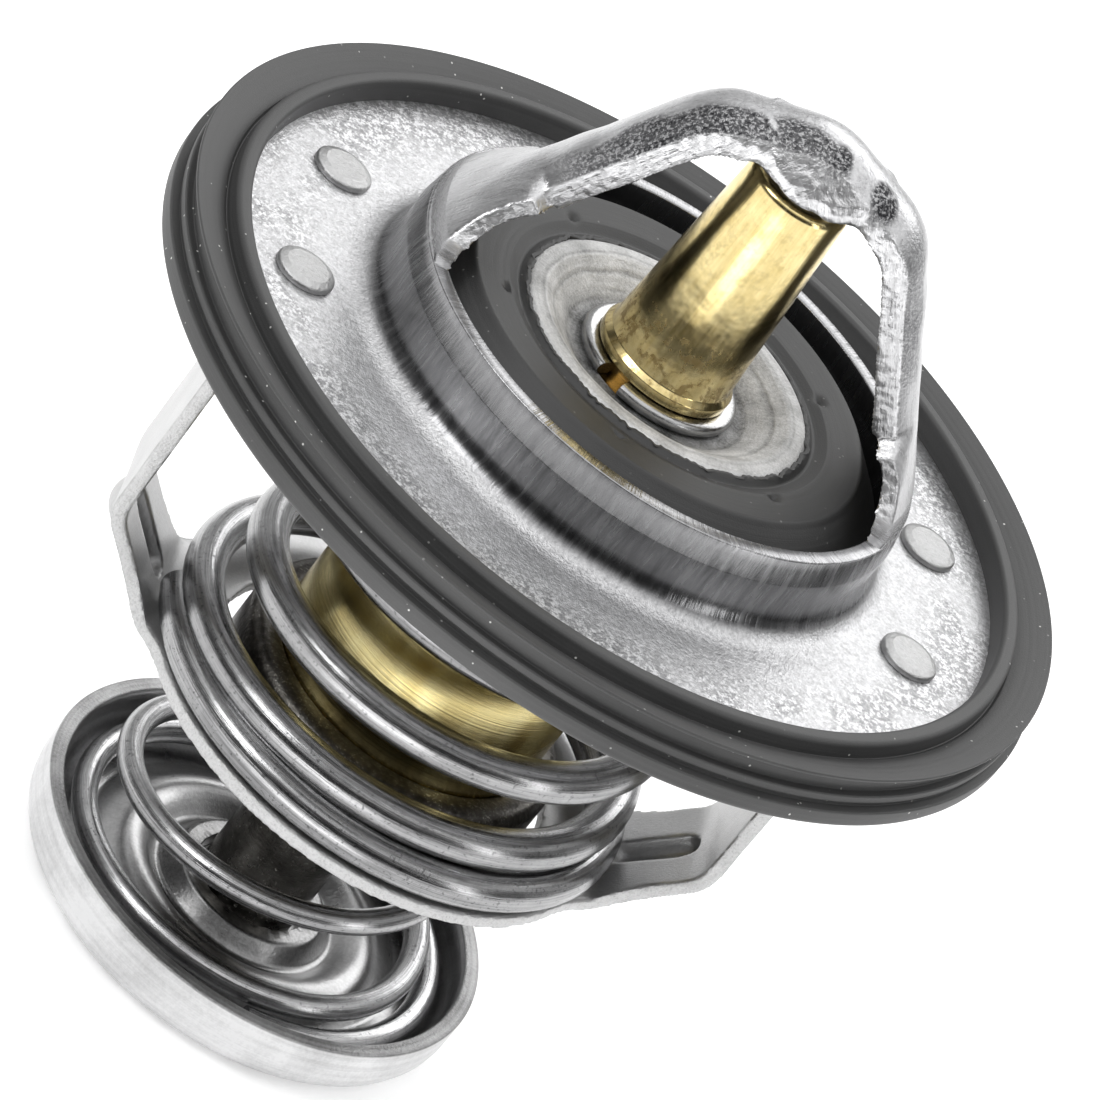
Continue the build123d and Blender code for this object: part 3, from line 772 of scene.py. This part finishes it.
def main_spring(tree):
    """The heavy spring, closer wound and wider at its foot."""
    wide, narrow = 16.75, 13.4
    radii = [
        (0, wide), (0.6, wide), (1.25, wide - 1.0), (2.25, wide - 2.3),
        (3.6, narrow + 0.3), (5.0, narrow), (5.75, narrow),
    ]
    shares = [
        (0, 0), (0.5, 0.01), (1.25, 0.09), (2.25, 0.27), (3.25, 0.5), (4.25, 0.76), (5.0, 0.95), (5.75, 1),
    ]
    finish = wire_steel("main_wire_steel", 0.24, 0.66)
    piece = wound(
        "main_spring", tree, finish, wire=2.9, sides=36, radii=radii, shares=shares,
        start_angle=-173.6, lean=1.0,
    )
    stands_for(piece, "housing", "spring_steel", "main_spring")
    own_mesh(piece)


def bypass_spring(tree):
    """The conical spring, wide in the dish and narrow under the cup."""
    wide, narrow = 14.2, 9.0
    radii = [
        (0, wide), (0.55, wide - 0.1), (1.0, wide - 1.6), (1.75, wide - 2.1),
        (2.2, narrow + 1.7), (2.6, narrow), (3.3, narrow),
    ]
    shares = [(0, 0), (0.55, 0.01), (1.0, 0.09), (1.75, 0.42), (2.2, 0.78), (2.6, 0.98), (3.3, 1)]
    finish = wire_steel("bypass_wire_steel", 0.3, 0.76)
    piece = wound(
        "bypass_spring", tree, finish, wire=1.85, sides=28, radii=radii, shares=shares,
        start_angle=-80.6, lean=-0.7,
    )
    stands_for(piece, "valve", "thin_spring_steel", "bypass_spring")
    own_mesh(piece)


# Rubber

def seal_ring():
    """The ring on the flange's rim: banded edge, sloping land, raised inner lip and a slot."""
    z = low("seal_ring")
    rim = reach("seal_ring")
    bore = 29.0
    lip_bore = 29.1
    banded_edge = [
        (bore, z, 0.2), (rim, z, 0.45), (rim, z + 1.4, 0.15), (rim - 0.7, z + 1.4, 0.08),
        (rim - 0.7, z + 1.8, 0.08), (rim - 0.5, z + 1.8, 0.15), (rim - 0.5, z + 2.4, 0.15),
        (rim - 1.1, z + 2.4, 0.1), (rim - 1.1, z + 3.8, 0.1), (rim - 0.4, z + 3.8, 0.12),
    ]
    land_and_lip = [
        (rim - 0.4, z + 4.1, 0.2), (30.55, z + 3.2, 0.15), (30.35, z + 2.95, 0.1),
        (30.25, z + 4.3, 0.4), (lip_bore, z + 4.3, 0.35),
    ]
    slot = [
        (lip_bore, FLANGE_TOP), (FLANGE_RIM, FLANGE_TOP), (FLANGE_RIM, FLANGE_UNDER), (bore, FLANGE_UNDER),
    ]
    outline = banded_edge + land_and_lip + slot
    piece = turned("seal_ring_moulding", outline, moulded_rubber("seal_rubber", 0.045, 1.0), segments=360)
    stands_for(piece, "housing", "seal_rubber", "seal_ring")


def valve_rubber():
    """Rubber over the disc's edge, with a ragged inner rim and six pin marks."""
    top = high("valve_rubber")
    wide = reach("valve_rubber")
    crest = top - 0.15
    rim_radius = 10.95
    pin_circle = 12.6
    pin_marks = [math.radians(a) for a in (135.7, -160.8, -98.7, -42.0, 28.7, 90.0)]

    def moulded(r, z, angle):
        if r <= rim_radius:
            place = Vector((math.cos(angle) * 9, math.sin(angle) * 9, 0.0))
            ragged = 0.3 * noise.noise(place) + 0.2 * noise.noise(place * 3)
            return r + ragged + 0.12 * noise.noise(place * 8), z
        if z > top - 1.0 and r < 14.0:
            for pin in pin_marks:
                aside = pin_circle * math.sin(angle - pin)
                if math.cos(angle - pin) > 0 and abs(aside) < 1.2:
                    z -= 0.34 * math.exp(-((r - pin_circle) / 0.3) ** 2 - (aside / 0.42) ** 2)
        return r, z

    outline = [
        (10.6, top - 1.6), (15.5, top - 3.0), (15.6, top - 3.6, 0.2), (17.0, top - 4.4, 0.4),
        (wide, top - 3.8, 0.25), (wide, top - 3.05, 0.25), (14.9, top, 0.35), (12.3, top - 0.2, 0.5),
        (11.4, top - 0.6, 0.3), (10.9, crest - 0.1, 0.15), (10.6, crest - 0.15, 0.1),
    ]
    material = moulded_rubber("disc_rubber", 0.028, 0.25)
    piece = turned(
        "valve_rubber_moulding", outline, material, segments=480, wobble=moulded, longest=0.24,
    )
    stands_for(piece, "valve", "valve_rubber", "valve_rubber")


# Pressings

def arm_section(side, height, tears):
    """Closed section of one arm at a height over the lip: a fan low down, a gutter higher up."""
    rise, run = 17.2, 10.45
    lean = math.atan2(run, rise)
    level_sheet = PRESSED_SHEET / math.cos(lean)
    fan = [(-1.0, 7.6), (0.0, 7.6), (0.25, 7.0), (0.9, 6.2), (2.0, 5.35), (3.2, 4.75), (4.6, 4.35)]
    climb = max(0.0, height)
    outer = []
    inner = []
    steps = 26
    for k in range(-steps, steps + 1):
        tear = tears[k > 0]
        half_widths = fan + [(tear - 0.25, 4.15), (tear + 0.35, 3.15), (14.0, 3.1)]
        bends = [
            (0.0, LIP_RADIUS), (3.0, 16.0), (tear - 0.4, 9.0), (tear + 0.5, 4.75), (14.0, 4.75),
        ]
        gutter = float(fade(np.array(height), 2.0, tear + 0.4))
        flare = (1 - gutter) * min(1.0, climb)
        y = between(height, half_widths) * k / steps
        bend = between(height, bends)
        sheet = PRESSED_SHEET + (level_sheet - PRESSED_SHEET) * flare - 0.1 * (height < 0)
        arc = math.sqrt(bend * bend - y * y)
        drop = bend - arc
        through = bend - math.sqrt((bend - sheet) ** 2 - y * y)
        in_x = 1.0 + (math.cos(lean) - 1.0) * gutter
        in_z = math.sin(lean) * gutter
        x = LIP_RADIUS - 0.02 + 0.1 * flare - run / rise * climb
        z = LIP + height
        outer.append((side * (x - in_x * drop), y, z - in_z * drop))
        inner.append((side * (x - in_x * through), y, z - in_z * through))
    section = outer + inner[::-1]
    return section if side > 0 else section[::-1]


def bridge_with_scuffs_and_painted_shade():
    """The arms, strip and hood above the lip: stretched sheet with scuffs, painted shade along the front
    shoulder, and sheared edges.
    """
    piece = merged_copy("flange_bridge", "bridge_part")
    shell = bmesh.new()
    shell.from_mesh(piece.data)
    everything = shell.verts[:] + shell.edges[:] + shell.faces[:]
    level = {"plane_co": Vector((0, 0, ARM_TOP * MM)), "plane_no": (0, 0, 1)}
    cut = bmesh.ops.bisect_plane(shell, geom=everything, clear_inner=True, **level)
    rims = [item for item in cut["geom_cut"] if isinstance(item, bmesh.types.BMEdge)]
    bmesh.ops.holes_fill(shell, edges=rims)
    # Each arm's front and back edge is torn at its own height over the lip.
    for side, tears in ((-1, (6.5, 5.6)), (1, (5.2, 6.2))):
        heights = np.arange(-0.9, ARM_TOP - LIP + 1.5, 0.12)
        points, faces = tube([arm_section(side, float(height), tears) for height in heights])
        made = [shell.verts.new((x * MM, y * MM, z * MM)) for x, y, z in points]
        for face in faces:
            shell.faces.new([made[i] for i in face])
    bmesh.ops.triangulate(shell, faces=shell.faces[:])
    shell.to_mesh(piece.data)
    shell.free()
    piece = remeshed(piece, 0.16)
    places, outward = points_of(piece)
    x, y, z = places.T
    hood = fade(np.abs(x), 6.4, 5.0) * fade(np.abs(y), 2.2, 2.9) * fade(z, CROWN - 4.3, CROWN - 3.5)
    piece = eased_where(piece, hood, 70)
    places, outward = points_of(piece)
    x, y, z = places.T
    side_face = fade(np.abs(outward[:, 1]), 0.6, 0.85) * fade(z, LIP + 0.2, LIP + 0.8)
    cut_face = side_face * fade(np.abs(y), 2.3, 2.8)
    marked(piece, "cut_face", cut_face)
    torn = ripple(places, 2.2, 11.0)
    push = 0.08 * ripple(places, 0.42, 3.0) * fade(z, LIP + 1.5, LIP + 4.0) + 0.07 * torn * cut_face
    places = places + outward * push[:, None]
    skirt = fade(z, CROWN - 2.75, CROWN - 3.95) * fade(np.hypot(x, y), 6.5, 5.5) * fade(z, LIP + 8, LIP + 9)
    places[:, 2] += skirt * (0.2 * ripple(places, 0.75, 27.0) + 0.06 * torn)
    put_points(piece, places)
    marked(piece, "scuffs_with_painted_shade", bridge_scuffs_and_painted_shade(places, outward))
    return piece


def bridge_scuffs_and_painted_shade(places, outward):
    """How dark each point is painted: painted shade and dark reflection along the front shoulder, and real
    scuffs in two spots on the hood.
    """
    x, z = places[:, 0], places[:, 2]
    sway = 1.2 * ripple(places, 0.5, 41.0)
    facing = outward[:, 1]
    # Shoulder points that face forward are painted dark: painted shade and dark reflection, with grain.
    shoulder = fade(facing + 0.14 * sway, -0.14, -0.3) * fade(facing, -0.88, -0.72)
    left = shoulder * fade(x + sway, -15.0, -11.0) * fade(x + sway, 1.9, 0.9) * fade(z, LIP + 6.5, LIP + 8.5)
    right = shoulder * fade(x, 6.6, 7.8) * fade(z, LIP + 7.5, LIP + 9.5)
    scuffs_with_painted_shade = np.maximum(0.9 * left, 0.35 * right)
    # Two real scuffs on the hood.
    for spot, size in (((0.4, -2.0, CROWN - 0.8), 1.0), ((4.4, -1.9, CROWN - 1.8), 1.1)):
        apart = np.linalg.norm((places - spot) * (1.0, 0.8, 0.5), axis=1) + 0.4 * sway
        round_spot = fade(apart, 1.2 * size, 0.7 * size) * fade(facing, -0.05, -0.2)
        scuffs_with_painted_shade = np.maximum(scuffs_with_painted_shade, round_spot)
    return scuffs_with_painted_shade


def flange_and_bridge():
    """The upper pressing: a turned flange and collar with the bridge joined to it."""
    finish = steel_pressing()
    bridge = dressed(bridge_with_scuffs_and_painted_shade(), finish, 60.0)
    shoulder = FLANGE_TOP + 4.1
    bore = COLLAR_RADIUS - PRESSED_SHEET
    outline = [
        (FLANGE_RIM, FLANGE_TOP, 0.1), (COLLAR_RADIUS, FLANGE_TOP, 3.9), (COLLAR_RADIUS, shoulder, 0.5),
        (LIP_RADIUS, LIP, 0.12), (LIP_RADIUS - PRESSED_SHEET, LIP, 0.12), (bore, shoulder, 0.5),
        (bore, FLANGE_UNDER, 5.0), (FLANGE_RIM, FLANGE_UNDER, 0.1),
    ]
    collar = turned("upper_pressing", outline, finish, segments=320, longest=0.8)
    with bpy.context.temp_override(active_object=collar, selected_editable_objects=[collar, bridge]):
        bpy.ops.object.join()
    stands_for(collar, "housing", "pressed_steel", "flange_bridge")


def strap_frame():
    """The strap with its sheared, slightly torn edges."""
    piece = remeshed(merged_copy("lower_frame", "strap_frame"), 0.2)
    places, outward = points_of(piece)
    x, y, z = places.T
    radius = np.hypot(x, y)
    ring_top = low("lower_frame") + 1.2
    leg_foot = low("lower_frame") + 1.6
    leg_side = fade(np.abs(outward[:, 1]), 0.6, 0.85) * fade(np.abs(y), 4.2, 4.5)
    leg_side = leg_side * fade(z, ring_top, leg_foot)
    ring_side = fade(np.abs(outward[:, 2]), 0.75, 0.5) * fade(z, ring_top + 0.3, ring_top)
    ring_side = ring_side * (fade(radius, 17.0, 17.4) + fade(radius, 13.4, 13.2))
    cut_face = np.maximum(leg_side, ring_side)
    torn = ripple(places, 1.6, 5.0)
    waves = ripple(places, 0.3, 9.0)
    push = 0.07 * torn * cut_face + 0.04 * waves * (1 - cut_face)
    put_points(piece, places + outward * push[:, None])
    marked(piece, "cut_face", cut_face)
    dressed(piece, strap_steel(), 50.0)
    stands_for(piece, "housing", "frame_steel", "lower_frame")


def rivets():
    """Four domed rivet heads with their shanks, set on points by Geometry Nodes."""
    finish = rivet_steel()
    out, aside = 23.35, 7.0
    points = [(sx * out, sy * aside, low("frame_rivets")) for sx in (1, -1) for sy in (1, -1)]
    height = high("frame_rivets") - low("frame_rivets")
    shank, head = 1.45, 2.1
    outline = [
        (0, 0), (2.0, 0), (shank, 0.6), (shank, height - 0.6), (head, height - 0.6, 0.08),
        (head, height - 0.2, 0.25), (1.5, height, 0.3), (0, height - 0.03),
    ]
    one = turned("rivet_pattern", outline, finish, segments=48)
    sizes = [("Rivet", "NodeSocketObject"), ("Material", "NodeSocketMaterial")]
    tree, given = geometry_tree("rivets_on_points", sizes)
    shape = tree.node("GeometryNodeObjectInfo", {}, {"Object": given["Rivet"]}, "Geometry")
    set_out = {"Points": given["Geometry"], "Instance": shape}
    end_geometry(tree, tree.node("GeometryNodeInstanceOnPoints", {}, set_out), given["Material"])
    piece = meshed("rivet_heads", points, [], [])
    run_tree(piece, tree.tree, {"Rivet": one, "Material": finish})
    bpy.data.objects.remove(one)
    dressed(piece, finish, 40.0)
    stands_for(piece, "housing", "rivet_steel", "frame_rivets")


def bypass_dish():
    """The dish: a spring channel, a wavy web and a hub with a slightly torn mouth."""
    wide = reach("bypass_dish")
    rim = high("bypass_dish")
    sheet = 1.15
    crest = sheet + 1.8
    mouth, mouth_low, mouth_high = 4.4, 1.67, 2.75
    outline = [
        (mouth, mouth_low), (5.67, mouth_low), (5.67, 0.0, 0.15), (7.36, 0.0, 0.5),
        (9.2, crest - sheet, 1.4), (11.7, 0.0, 1.0), (wide, 0.0, 4.2), (wide, rim, 0.2),
        (wide - sheet, rim, 0.2), (wide - sheet, sheet, 3.05), (12.2, sheet, 0.8), (9.2, crest, 2.4),
        (6.9, sheet, 0.5), (5.7, mouth_high, 0.5), (mouth, mouth_high, 0.1),
    ]

    def torn(r, z, angle):
        if r > mouth + 0.5 or z < 2.0:
            return r, z
        place = Vector((math.cos(angle) * 5, math.sin(angle) * 5, z))
        return r, z + 0.12 * noise.noise(place * 1.4)

    piece = turned(
        "bypass_dish_pressing", outline, dish_steel(), segments=300, wobble=torn, longest=0.6,
    )
    stands_for(piece, "bypass", "dish_steel", "bypass_dish")


# Turned and stamped small pieces

def guide():
    """The brass turning: thick body, neck, groove for the snap ring and the tapered sleeve."""
    body_top = high("element_cup") - CUP_SHEET
    bottom = low("guide_body")
    tip = high("guide_body")
    disc_under = DISC_TOP - DISC_SHEET
    groove_top = DISC_TOP + 1.05
    shoulder, neck_low = 42.9, 46.0
    flange, body, neck, spigot, bead, bore = 11.3, 10.05, 7.5, 5.4, 4.95, 2.25
    outline = [
        (bore, bottom + 3.7), (5.0, bottom), (flange, bottom), (flange, body_top, 0.9), (body, body_top),
        (body, shoulder, 0.3), (neck, neck_low, 0.3), (neck, disc_under), (spigot, disc_under),
        (spigot, DISC_TOP), (SNAP_GROOVE, DISC_TOP), (SNAP_GROOVE, groove_top), (bead, groove_top, 0.12),
        (bead, groove_top + 0.7, 0.15), (4.6, groove_top + 1.1, 0.2), (3.65, tip, 0.6), (bore, tip),
    ]
    piece = turned("guide_turning", outline, turned_brass(), longest=0.8)
    stands_for(piece, "valve", "guide_brass", "guide_body")


def element_cup():
    """The drawn cup, rolled over the guide's flange."""
    bottom = low("element_cup")
    top = high("element_cup")
    wide = reach("element_cup")
    mouth = 10.08
    outline = [
        (0, bottom), (wide, bottom, 2.4), (wide, top, 1.95), (mouth, top, 0.25), (mouth, top - CUP_SHEET),
        (wide - CUP_SHEET, top - CUP_SHEET, 1.0), (wide - CUP_SHEET, bottom + CUP_SHEET, 1.5),
        (0, bottom + CUP_SHEET),
    ]
    piece = turned("element_cup_drawn", outline, dark_cup_steel(), longest=0.5)
    stands_for(piece, "valve", "dark_steel", "element_cup")


def valve_disc():
    """The pressed disc: a sunk middle, a raised ring and the edge that the rubber covers."""
    under = DISC_TOP - DISC_SHEET
    crest = DISC_TOP + 1.8
    crest_under = crest - DISC_SHEET
    step = DISC_TOP + 1.1
    step_under = step - DISC_SHEET
    edge = step - 2.2
    hole = 5.43
    outline = [
        (hole, under), (6.9, under, 0.6), (9.6, crest_under, 0.6), (10.3, crest_under, 0.4),
        (11.2, step_under, 0.4), (14.15, step_under, 0.6), (16.37, edge - 0.77), (17.0, edge),
        (14.5, step, 1.4), (11.4, step, 0.4), (10.5, crest, 0.4), (9.4, crest, 0.8),
        (6.6, DISC_TOP, 1.0), (hole, DISC_TOP),
    ]
    piece = turned("valve_disc_pressing", outline, frosted_disc(), longest=0.5)
    stands_for(piece, "valve", "disc_steel", "valve_disc")


def split_ring(name, inner, outer, bottom, top, edge, gap_start, gap, material):
    """Ring with a gap, round edges and square cut ends."""
    corners = [(inner, bottom, edge), (outer, bottom, edge), (outer, top, edge), (inner, top, edge)]
    profile = rounded(corners)[::-1]
    count = 120
    rows = []
    for k in range(count + 1):
        angle = math.radians(gap_start + gap) + math.radians(360 - gap) * k / count
        rows.append([(r * math.cos(angle), r * math.sin(angle), z) for r, z in profile])
    points, faces = tube(rows)
    return dressed(meshed(name, points, [], faces), material, 40.0)


def rings():
    """The snap ring in the guide's groove, and the open clip in the stem's."""
    bright = plain_steel("snap_ring_steel", 0.46, 0.16)
    under = low("snap_ring")
    snap = split_ring(
        "snap_ring_wire", inner=SNAP_GROOVE, outer=5.9, bottom=under, top=under + 0.95, edge=0.46,
        gap_start=-133.6, gap=20.0, material=bright,
    )
    stands_for(snap, "valve", "ring_steel", "snap_ring")
    dull = plain_steel("clip_steel", 0.6, 0.26)
    clip = split_ring(
        "bypass_clip_wire", inner=CLIP_GROOVE, outer=5.55, bottom=CLIP_TOP - 0.8, top=CLIP_TOP, edge=0.2,
        gap_start=-125.0, gap=70.0, material=dull,
    )
    stands_for(clip, "valve", "ring_steel", "bypass_clip")


def stem():
    """The stud under the cup, with a head and a groove for the clip."""
    top = high("bypass_stem")
    bottom = 0.3
    shank, head = 3.95, 4.6
    outline = [
        (0, bottom), (CLIP_GROOVE, bottom, 0.1), (CLIP_GROOVE, CLIP_TOP), (shank, CLIP_TOP, 0.1),
        (shank, top - 0.7), (head, top - 0.7, 0.1), (head, top), (0, top),
    ]
    piece = turned("bypass_stem_stud", outline, oily_stem_steel(), segments=120)
    stands_for(piece, "valve", "stem_steel", "bypass_stem")


def dress_hidden_nodes():
    """Procedural finishes on the nodes whose own shape is kept."""
    finishes = {
        "piston": plain_steel("piston_finish", 0.65, 0.26),
        "wax_charge": plain_inside("wax_finish", (0.5, 0.24, 0.1), (0.75, 0.4, 0.2), 0.5),
        "diaphragm": plain_inside("diaphragm_finish", grey(0.02), grey(0.05), 0.6),
        "rubber_plug": plain_inside("plug_finish", grey(0.02), grey(0.05), 0.6),
        "piston_washer": plain_inside("washer_finish", (0.7, 0.7, 0.66), (0.85, 0.85, 0.8), 0.4),
    }
    for node, finish in finishes.items():
        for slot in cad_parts[node].material_slots:
            slot.material = finish


# Stage, light and camera

def floor():
    """Wide pale floor with a faint glow, which keeps it white round the piece."""
    half = 4000
    corners = [(-half, -half, 0), (half, -half, 0), (half, half, 0), (-half, half, 0)]
    pale = Finish("pale_floor").done(grey(0.95), 0.0, 0.9, glow=0.3)
    pale.cycles.emission_sampling = "NONE"
    obj = dressed(meshed("floor", corners, [], [(0, 1, 2, 3)]), pale)


def area_light(name, place, aim, size, power, seen=True):
    """Soft rectangular lamp that faces a point; sizes and places in metres."""
    data = bpy.data.lights.new(name, "AREA")
    data.shape = "RECTANGLE"
    data.size, data.size_y = size
    data.energy = power
    lamp = in_scene(name, data)
    lamp.location = place
    lamp.rotation_euler = (Vector(aim) - Vector(place)).to_track_quat("-Z", "Y").to_euler()
    lamp.visible_camera = seen


def studio():
    """Soft light from above and behind, as from a white sweep, with a darker room in front."""
    world = bpy.data.worlds.new("studio")
    bpy.context.scene.world = world
    world.use_nodes = True
    dome = Tree(world.node_tree)
    x, y, z = dome.parts(dome.node("ShaderNodeTexCoord", {}, (), "Generated"))
    above = z.step(0.4, 0.9)
    behind = (0.97 * y + 0.24 * x).step(-0.05, 0.75)
    beside = (-1 * x).step(0.55, 0.95)
    light = 0.04 + 1.5 * above + (1 - above) * (0.62 * behind + 0.12 * beside)
    glow = dome.node("ShaderNodeBackground", {}, {"Color": light, "Strength": 1.0})
    dome.ends_in("ShaderNodeOutputWorld", glow)
    middle = (0, 0, 0.04)
    area_light("key", (-0.5, -0.3, 0.55), middle, (0.3, 0.3), 1.6)
    area_light("back_strip", (0.25, 0.55, 0.4), middle, (0.6, 0.15), 1.0)
    area_light("side_strip", (0.6, -0.35, 0.2), middle, (0.12, 0.5), 0.7)
    table = (-0.03, -0.13, 0.001)
    over_table = (-0.03, -0.13, 1.0)
    area_light("front_table", table, over_table, (0.09, 0.14), 0.09, seen=False)
    bpy.context.scene.view_settings.view_transform = "Standard"


def camera():
    """Camera fitted to the photograph's circles; its frame is square."""
    elevation = math.radians(28.74)
    heading = math.radians(11.6)
    distance = 397.6
    target_height = 46.9
    pan, tilt, roll = 0.0044, 0.0194, -0.66966
    focal_share = 6086.9 / 1100
    place = Vector((0, -distance * math.cos(elevation), distance * math.sin(elevation)))
    ahead = -place.normalized()
    right = Vector((1, 0, 0))
    up = right.cross(ahead)
    turn = Matrix.Rotation(roll, 3, "Z") @ Matrix.Rotation(tilt, 3, "X")
    axes = turn @ Matrix.Rotation(pan, 3, "Y") @ Matrix((right, up, -ahead))
    heading_turn = Matrix.Rotation(-heading, 3, "Z")
    world = heading_turn @ axes.transposed()
    spot = heading_turn @ place + Vector((0, 0, target_height))
    data = bpy.data.cameras.new("camera")
    data.sensor_width = 36.0
    data.lens = data.sensor_width * focal_share
    data.clip_start, data.clip_end = 0.01, 20.0
    cam = in_scene("camera", data)
    cam.matrix_world = Matrix.Translation(spot * MM) @ world.to_4x4()
    bpy.context.scene.camera = cam


def main():
    wire = wire_tree()
    main_spring(wire)
    bypass_spring(wire)
    seal_ring()
    valve_rubber()
    flange_and_bridge()
    strap_frame()
    rivets()
    bypass_dish()
    guide()
    element_cup()
    valve_disc()
    rings()
    stem()
    dress_hidden_nodes()
    floor()
    studio()
    camera()


main()
